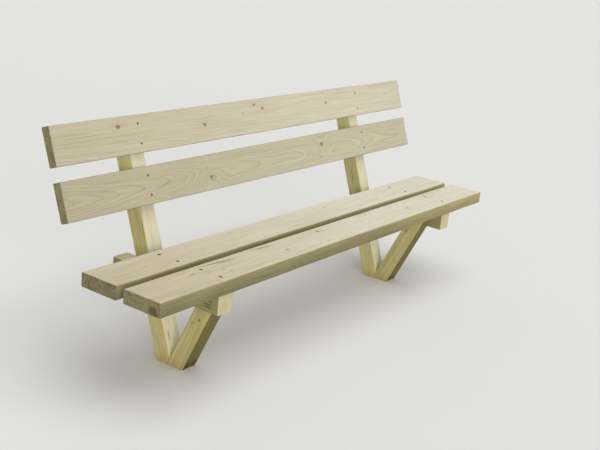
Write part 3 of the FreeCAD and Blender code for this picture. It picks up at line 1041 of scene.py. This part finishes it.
# How a board is worked: the half width of the patch that is scored round a screw, the spacing of
# the scores across its faces, the scores near its ends, the hollow of its faces and the knocks
SEAT_WORK = {
    "patch": 0.011,
    "spacing": 0.016,
    "end_gaps": (0.005, 0.010, 0.018),
    "hollow": 0.00025,
    "knock": 0.0014,
}
BACK_WORK = {
    "patch": 0.010,
    "spacing": 0.014,
    "end_gaps": (0.004, 0.009, 0.017),
    "hollow": 0.0002,
    "knock": 0.0010,
}
BOARD_FACETS, BOARD_END_FACETS = 6, 3
# The spacing of the scores along a board, and how far from its ends the even ones stop
BOARD_SPACING, BOARD_END = 0.020, 0.028
# How far from a rounded arris the first score of a face lies
BOARD_MARGIN, THIN_MARGIN = 0.002, 0.0015
# The sharp step under the lip of wood, and how much narrower the holes of the back boards are
LIP_EDGE, BACK_HOLE_NARROWER = 0.00002, 0.0005

# Radius and strength of the stain round a screw
SEAT_SCREW_STAIN, BACK_SCREW_STAIN = (0.0056, 0.85), (0.0044, 0.35)

# Facets of the roundings, spacing of the scores, and the hollow and knocks of frame timber
FRAME_FACETS, FRAME_END_FACETS = 4, 2
FRAME_SPACING, FRAME_HOLLOW, FRAME_KNOCK = 0.018, 0.00025, 0.0011
# How far inside a face its colour starts and is full: the golden sides, the painted light on a bearer's top
# and the painted shade on a leg's front
GOLDEN_BORDER, TOP_BORDER, FRONT_BORDER = (0.0035, 0.001), (0.0030, 0.0005), (0.0025, 0.0005)
# How dark a bearer's rings are beside its face
BEARER_RING_SHARE = 0.62

# Places on the bench: the underside of the seat, the front of a leg's foot, and the point in a post
# from which its length is measured
GROUND = Vector((0, 0, 0))
SEAT_UNDERSIDE = 0.337
LEG_FOOT_FRONT = -0.094440
POST_MIDDLE = Vector((0, 0.125440, 0.386))
# Along the post: its rough start and its top, where the even scores start, and the scores by the top
POST_START, POST_TOP = -0.47, 0.39810
POST_SCORED_FROM, POST_TOP_GAPS = -0.36, (0.004, 0.012)
# Half the length of a leg's rough timber and of its scored part
LEG_ROUGH_HALF, LEG_SCORED_HALF = 0.25, 0.13
# How far from a bearer's ends the even scores stop, and the scores by the ends
BEARER_END, BEARER_END_GAPS = 0.020, (0.004, 0.010)

# The recesses of the foot screws in the front legs: their height, half their spacing, the place of
# their bottoms, their radius and half the width of the patch that is scored round them
FOOT_SCREW_HEIGHT, FOOT_SCREW_HALF_SPACING = 0.016, 0.016
FOOT_SCREW_SEAT, FOOT_RECESS_RADIUS, FOOT_PATCH = -0.09630, 0.0080, 0.010
# The painted shade in them: its middle above the screw and behind the front face, its reach and its
# strength
FOOT_SHADE_UP, FOOT_SHADE_IN, FOOT_SHADE_REACH = 0.0015, 0.008, (0.020, 0.020, 0.0165)
FOOT_SHADE_STRENGTH = 1.6


def screwed_board(size, sizes, layers, steps, seed, patch, spacing, end_gaps, hollow, knock):
    """A board with rounded arrises and eased ends, bored for its four screws and weathered."""
    half = size / 2
    bm = planed_timber(-half.x, half.x, size.y, size.z, sizes.rounding, BOARD_FACETS)
    ease_ends(bm, sizes.end_rounding, BOARD_END_FACETS)
    rows = [-sizes.screw_from_middle, sizes.screw_from_middle]
    columns = [sizes.screw_from_edge - half.y, half.y - sizes.screw_from_edge]
    flat = half.y - sizes.rounding - BOARD_MARGIN
    score(bm, 1, stations(-flat, flat, spacing, columns, patch) + [-flat, flat])
    score(bm, 2, layers)
    ends = [side * (half.x - gap) for side in (-1, 1) for gap in end_gaps]
    long = half.x - BOARD_END
    score(bm, 0, stations(-long, long, BOARD_SPACING, rows, patch) + ends)
    for row in rows:
        for column in columns:
            near, far = (Vector((row, column, side * half.z)) for side in (1, -1))
            bore(bm, near, UPWARDS, steps, far)
    weather(bm, size.y, size.z, sizes.rounding, hollow, knock, seed)
    return bm


def hole_steps(hardware, mouth, narrower=0):
    """The depths and radii of a screw hole, from the lip of wood over the head inwards."""
    return [
        (0, mouth),
        (hardware.lip - LIP_EDGE, mouth),
        (hardware.lip, hardware.screw_recess - 2 * narrower),
        (hardware.countersink, hardware.screw_hole - narrower),
    ]


def thirds(reach):
    """Scores across a face: at both of its borders and at thirds between them."""
    return [-reach, -reach / 3, reach / 3, reach]


def weather_frame(bm, width, depth, sizes, seed):
    weather(bm, width, depth, sizes.rounding, FRAME_HOLLOW, FRAME_KNOCK, seed)


def middle_of(node):
    low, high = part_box(node)
    return (low + high) / 2


def leg_rear_plane(sizes):
    """A point on the rear face of the front legs and the direction that this face looks."""
    facing = Vector((0, math.cos(sizes.leg_lean), math.sin(sizes.leg_lean)))
    return BACKWARDS * LEG_FOOT_FRONT + facing * sizes.section, facing


class BENCH_OT_seat_boards(Operator):
    """Makes the two thick seat boards, with a countersunk hole for each screw"""

    bl_idname = "bench.seat_boards"
    bl_label = "Seat boards"

    def execute(self, context):
        sizes, hardware = context.scene.bench_seat_boards, context.scene.bench_hardware
        steps = hole_steps(hardware, hardware.seat_mouth)
        edge = tuple(sizes.edge_colour)
        for node, figure in SEAT_FIGURES.items():
            low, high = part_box(node)
            size = high - low
            half = size / 2
            place = set_out(ACROSS_BENCH, BACKWARDS, middle_of(node))
            layers = thirds(half.z - sizes.rounding - BOARD_MARGIN)
            bm = screwed_board(size, sizes, layers, steps, figure["seed"], **SEAT_WORK)
            start, full = half.y - sizes.rounding, half.y - sizes.rounding * 0.3
            # Painted light on a front edge that looks into the gap between the seat boards
            front_edge_painted_light = scaled(figure["front_edge_painted_light"], edge)
            sides = [(front_edge_painted_light, "across", -start, -full), (edge, "across", start, full)]
            fixings = (sizes.screw_from_middle, half.y - sizes.screw_from_edge, *SEAT_SCREW_STAIN)
            colours = {**colours_of(sizes), "end": scaled(figure["end_light"], sizes.end_colour)}
            finish = wood_finish(node, place, colours, figure, both_ends(half.x), sides, fixings)
            lay_in_place(bm, place, node, finish)
        return {"FINISHED"}


class BENCH_OT_back_boards(Operator):
    """Makes the two thinner back boards, leaning with the posts, with their screw holes"""

    bl_idname = "bench.back_boards"
    bl_label = "Back boards"

    def execute(self, context):
        sizes, hardware = context.scene.bench_back_boards, context.scene.bench_hardware
        lean = context.scene.bench_frame_timber.post_lean
        up_the_back = Vector((0, math.sin(lean), math.cos(lean)))
        steps = hole_steps(hardware, hardware.back_mouth, BACK_HOLE_NARROWER)
        edge = tuple(sizes.edge_colour)
        for node, figure in BACK_FIGURES.items():
            low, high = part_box(node)
            size = Vector((high.x - low.x, sizes.width, sizes.thickness))
            half = size / 2
            place = set_out(ACROSS_BENCH, up_the_back, middle_of(node))
            deep = half.z - sizes.rounding - THIN_MARGIN
            bm = screwed_board(size, sizes, [-deep, 0, deep], steps, figure["seed"], **BACK_WORK)
            start, full = half.y - sizes.rounding * 0.6, half.y - sizes.rounding * 0.1
            sides = [(edge, "across", -start, -full), (edge, "across", start, full)]
            fixings = (sizes.screw_from_middle, half.y - sizes.screw_from_edge, *BACK_SCREW_STAIN)
            ends = both_ends(half.x)
            finish = wood_finish(node, place, colours_of(sizes), figure, ends, sides, fixings)
            lay_in_place(bm, place, node, finish)
        return {"FINISHED"}


class BENCH_OT_back_posts(Operator):
    """Makes the two long posts that lean backwards from the ground to the upper back board"""

    bl_idname = "bench.back_posts"
    bl_label = "Back posts"

    def execute(self, context):
        sizes = context.scene.bench_frame_timber
        side = sizes.section
        up_the_post = Vector((0, math.sin(sizes.post_lean), math.cos(sizes.post_lean)))
        to_rear = Vector((0, math.cos(sizes.post_lean), -math.sin(sizes.post_lean)))
        seat_point, seat_facing = leg_rear_plane(sizes)
        ends = [sawn_end("height", 0, -1), sawn_end("along", POST_TOP, 1)]
        top_scores = [POST_TOP - gap for gap in POST_TOP_GAPS]
        for node, figure in POST_FIGURES.items():
            middle = POST_MIDDLE + ACROSS_BENCH * middle_of(node).x
            place = set_out(up_the_post, to_rear, middle)
            bm = planed_timber(POST_START, POST_TOP, side, side, sizes.rounding, FRAME_FACETS)
            saw_off(bm, place, GROUND, -UPWARDS)
            saw_off(bm, place, seat_point, -seat_facing)
            ease_ends(bm, sizes.end_rounding, FRAME_END_FACETS)
            for axis in (1, 2):
                score(bm, axis, thirds(side / 2 - sizes.rounding - THIN_MARGIN))
            score(bm, 0, stations(POST_SCORED_FROM, top_scores[-1], FRAME_SPACING) + top_scores)
            weather_frame(bm, side, side, sizes, figure["seed"])
            golden, foot = golden_sides(sizes), tuple(sizes.foot_colour)
            finish = wood_finish(node, place, colours_of(sizes), figure, ends, golden, foot=foot)
            lay_in_place(bm, place, node, finish)
        return {"FINISHED"}


class BENCH_OT_front_legs(Operator):
    """Makes the two short legs that lean forwards, with the recesses of the foot screws"""

    bl_idname = "bench.front_legs"
    bl_label = "Front legs"

    def execute(self, context):
        sizes = context.scene.bench_frame_timber
        side, half, lean = sizes.section, sizes.section / 2, sizes.leg_lean
        up_the_leg = Vector((0, -math.sin(lean), math.cos(lean)))
        to_rear = Vector((0, math.cos(lean), math.sin(lean)))
        middle_height = SEAT_UNDERSIDE / 2
        middle_back = LEG_FOOT_FRONT - middle_height * math.tan(lean) + half / math.cos(lean)
        foot_screw_front = LEG_FOOT_FRONT - FOOT_SCREW_HEIGHT * math.tan(lean)
        flat = half - sizes.rounding - THIN_MARGIN
        spots = [-FOOT_SCREW_HALF_SPACING, FOOT_SCREW_HALF_SPACING]
        start, full = (border - half for border in FRONT_BORDER)
        # The legs' dark fronts are partly painted shade
        sides = [(tuple(sizes.front_painted_shade_colour), "across", start, full), *golden_sides(sizes)]
        ends = [sawn_end("height", 0, -1), sawn_end("height", SEAT_UNDERSIDE, 1)]
        for node, figure in LEG_FIGURES.items():
            middle = Vector((middle_of(node).x, middle_back, middle_height))
            place = set_out(up_the_leg, to_rear, middle)
            home = place.inverted()
            screw_along = (home @ Vector((0, foot_screw_front, FOOT_SCREW_HEIGHT))).x
            bm = planed_timber(-LEG_ROUGH_HALF, LEG_ROUGH_HALF, side, side, sizes.rounding, FRAME_FACETS)
            saw_off(bm, place, GROUND, -UPWARDS)
            saw_off(bm, place, UPWARDS * SEAT_UNDERSIDE, UPWARDS)
            ease_ends(bm, sizes.end_rounding, FRAME_END_FACETS)
            score(bm, 1, thirds(flat))
            score(bm, 2, [-flat, 0, flat] + patch_borders(spots, FOOT_PATCH))
            lengthwise = stations(-LEG_SCORED_HALF, LEG_SCORED_HALF, FRAME_SPACING)
            score(bm, 0, lengthwise + patch_borders([screw_along], FOOT_PATCH))
            inwards, level = home.to_3x3() @ BACKWARDS, home @ (BACKWARDS * FOOT_SCREW_SEAT)
            for spot in spots:
                sink(bm, Vector((screw_along, -half, spot)), FOOT_RECESS_RADIUS, inwards, level)
            weather_frame(bm, side, side, sizes, figure["seed"])
            # Painted shade in the foot screws' recesses, drawn as marks
            shades = [(screw_along + FOOT_SHADE_UP, FOOT_SHADE_IN - half, spot) for spot in spots]
            marks = [(shade, FOOT_SHADE_REACH, 0, FOOT_SHADE_STRENGTH) for shade in shades]
            figure, foot = {**figure, "marks": marks}, tuple(sizes.foot_colour)
            finish = wood_finish(node, place, colours_of(sizes), figure, ends, sides, foot=foot)
            lay_in_place(bm, place, node, finish)
        return {"FINISHED"}


class BENCH_OT_seat_bearers(Operator):
    """Makes the two bearers that carry the seat boards on the outer faces of the frames"""

    bl_idname = "bench.seat_bearers"
    bl_label = "Seat bearers"

    def execute(self, context):
        sizes = context.scene.bench_frame_timber
        colours = {
            "face": tuple(sizes.bearer_colour),
            "ring": scaled(BEARER_RING_SHARE, sizes.bearer_colour),
            "end": tuple(sizes.bearer_end_colour),
        }
        for node, figure in BEARER_FIGURES.items():
            low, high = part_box(node)
            size = Vector((high.y - low.y, high.z - low.z, high.x - low.x))
            half = size / 2
            place = set_out(BACKWARDS, -UPWARDS, middle_of(node))
            bm = planed_timber(-half.x, half.x, size.y, size.z, sizes.rounding, FRAME_FACETS)
            ease_ends(bm, sizes.end_rounding, FRAME_END_FACETS)
            for axis in (1, 2):
                score(bm, axis, thirds(half[axis] - sizes.rounding - THIN_MARGIN))
            ends = [side * (half.x - gap) for side in (-1, 1) for gap in BEARER_END_GAPS]
            long = half.x - BEARER_END
            score(bm, 0, stations(-long, long, FRAME_SPACING) + ends)
            weather_frame(bm, size.y, size.z, sizes, figure["seed"])
            start, full = (border - half.y for border in TOP_BORDER)
            # Painted light on the bearer's top
            sides = [(tuple(sizes.bearer_top_painted_light_colour), "across", start, full)]
            finish = wood_finish(node, place, colours, figure, both_ends(half.x), sides)
            lay_in_place(bm, place, node, finish)
        return {"FINISHED"}


def refinish(nodes, finish):
    """Gives CAD fasteners their finish."""
    for node in nodes:
        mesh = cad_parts[node].data
        mesh.materials.clear()
        mesh.materials.append(finish)


class BENCH_OT_screws(Operator):
    """Finishes the screws of the seat and the back in dark steel, and those of the feet in yellow steel
    darkened with painted shade
    """

    bl_idname = "bench.screws"
    bl_label = "Screws"

    def execute(self, context):
        hardware = context.scene.bench_hardware
        dark = screw_finish("dark coated steel", hardware.screw_colour)
        refinish(["seat_board_screws", "back_board_screws"], dark)
        # Yellow foot screws darkened with painted shade
        yellow = screw_finish("yellow steel in painted shade", hardware.foot_screw_shaded_colour)
        refinish(["foot_screws"], yellow)
        return {"FINISHED"}


class BENCH_OT_bolts(Operator):
    """Finishes the bolts, washers and nuts of the bearers in galvanised steel"""

    bl_idname = "bench.bolts"
    bl_label = "Bolts, washers and nuts"

    def execute(self, context):
        finish = bolt_finish(context.scene.bench_hardware.bolt_colour)
        refinish(["bearer_bolts", "bearer_bolt_washers", "bearer_bolt_nuts"], finish)
        return {"FINISHED"}


# Each lamp: the setting of its brightness, the direction it stands in and its softness in degrees
LAMPS = {
    "overhead lamp": ("key", (0.10, -0.30, 0.95), 60),
    "front lamp": ("front", (-0.58, -0.80, 0.17), 36),
    "left lamp": ("side", (-0.97, -0.15, 0.12), 70),
    "rear lamp": ("rear", (0.45, 0.85, 0.28), 70),
}
FLOOR_RADIUS, FLOOR_GAP, FLOOR_SIDES = 80, 0.0003, 64
CAMERA_NEAREST, CAMERA_FARTHEST, SENSOR_WIDTH = 0.05, 300, 36


class BENCH_OT_studio(Operator):
    """Sets up the pale floor, the soft lights and the camera"""

    bl_idname = "bench.studio"
    bl_label = "Studio"

    def execute(self, context):
        scene, settings = context.scene, context.scene.bench_studio
        scene.view_settings.view_transform = "Standard"
        lay_floor(scene, settings)
        scene.world = bpy.data.worlds.new("even sky")
        sky_light(blank(scene.world), settings)
        for name, (setting, towards, softness) in LAMPS.items():
            hang_lamp(scene, name, getattr(settings, setting), Vector(towards), softness)
        scene.camera = stand_camera(scene, settings)
        return {"FINISHED"}


def lay_floor(scene, settings):
    bm = bmesh.new()
    bmesh.ops.create_circle(bm, cap_ends=True, segments=FLOOR_SIDES, radius=FLOOR_RADIUS)
    bmesh.ops.translate(bm, vec=UPWARDS * -FLOOR_GAP, verts=bm.verts)
    mesh = bpy.data.meshes.new("studio_floor")
    bm.to_mesh(mesh)
    bm.free()
    mesh.materials.append(floor_finish(settings))
    floor = bpy.data.objects.new("studio_floor", mesh)
    scene.collection.objects.link(floor)


def hang_lamp(scene, name, brightness, towards, softness):
    """A soft lamp far away. A brightness of 1 shows a matt colour as it is written."""
    light = bpy.data.lights.new(name, "SUN")
    light.energy = brightness * math.pi
    light.angle = math.radians(softness)
    lamp = bpy.data.objects.new(name, light)
    lamp.rotation_euler = towards.to_track_quat("Z", "Y").to_euler()
    scene.collection.objects.link(lamp)


def stand_camera(scene, settings):
    optics = bpy.data.cameras.new("camera")
    optics.lens, optics.sensor_width = settings.camera_lens, SENSOR_WIDTH
    optics.clip_start, optics.clip_end = CAMERA_NEAREST, CAMERA_FARTHEST
    camera = bpy.data.objects.new("camera", optics)
    scene.collection.objects.link(camera)
    turn = Matrix.Rotation(settings.camera_turn, 4, "Z")
    dip = Matrix.Rotation(math.pi / 2 + settings.camera_dip, 4, "X")
    roll = Matrix.Rotation(settings.camera_roll, 4, "Z")
    spot = (settings.camera_across, settings.camera_back, settings.camera_height)
    camera.matrix_world = Matrix.Translation(spot) @ turn @ dip @ roll
    return camera


def seen_directly(tree):
    """1 for rays from the camera, also where metal or glass passes them on."""
    path = by_name(add(tree, "ShaderNodeLightPath", {}))
    mirrored = path["Is Glossy Ray"].at_least(path["Is Transmission Ray"])
    return path["Is Camera Ray"].at_least(mirrored)


def floor_finish(settings):
    finish = bpy.data.materials.new("pale floor")
    tree = blank(finish)
    tone = mixed(seen_directly(tree), tuple(settings.bounce_colour), tuple(settings.floor_colour))
    shader = add(tree, "ShaderNodeBsdfDiffuse", {"Color": tone}, 0)
    add(tree, "ShaderNodeOutputMaterial", {"Surface": shader})
    return finish


def sky_light(tree, settings):
    even = (settings.sky, settings.sky, settings.sky)
    tone = mixed(seen_directly(tree), even, tuple(settings.backdrop_colour))
    shader = add(tree, "ShaderNodeBackground", {"Color": tone, "Strength": 1}, 0)
    add(tree, "ShaderNodeOutputWorld", {"Surface": shader})


OPERATORS = [
    BENCH_OT_seat_boards,
    BENCH_OT_back_boards,
    BENCH_OT_back_posts,
    BENCH_OT_front_legs,
    BENCH_OT_seat_bearers,
    BENCH_OT_screws,
    BENCH_OT_bolts,
    BENCH_OT_studio,
]


class BENCH_PT_sidebar(Panel):
    """The bench's pieces and their sizes and colours"""

    bl_idname = "BENCH_PT_sidebar"
    bl_label = "Timber garden bench"
    bl_space_type = "VIEW_3D"
    bl_region_type = "UI"
    bl_category = "Bench"

    def draw(self, context):
        layout = self.layout
        for operator in OPERATORS:
            layout.operator(operator.bl_idname)
        for name, kind in SETTINGS.items():
            box = layout.box()
            group = getattr(context.scene, name)
            for entry in kind.__annotations__:
                box.prop(group, entry)


CLASSES = [*SETTINGS.values(), *OPERATORS, BENCH_PT_sidebar]


def register():
    for kind in CLASSES:
        bpy.utils.register_class(kind)
    for name, kind in SETTINGS.items():
        setattr(bpy.types.Scene, name, PointerProperty(type=kind))


def unregister():
    for name in SETTINGS:
        delattr(bpy.types.Scene, name)
    for kind in reversed(CLASSES):
        bpy.utils.unregister_class(kind)


def main():
    register()
    knot_pattern()
    mark_pattern()
    growth_pattern()
    bpy.ops.bench.seat_boards()
    bpy.ops.bench.back_boards()
    bpy.ops.bench.back_posts()
    bpy.ops.bench.front_legs()
    bpy.ops.bench.seat_bearers()
    bpy.ops.bench.screws()
    bpy.ops.bench.bolts()
    bpy.ops.bench.studio()


if __name__ == "__main__":
    main()
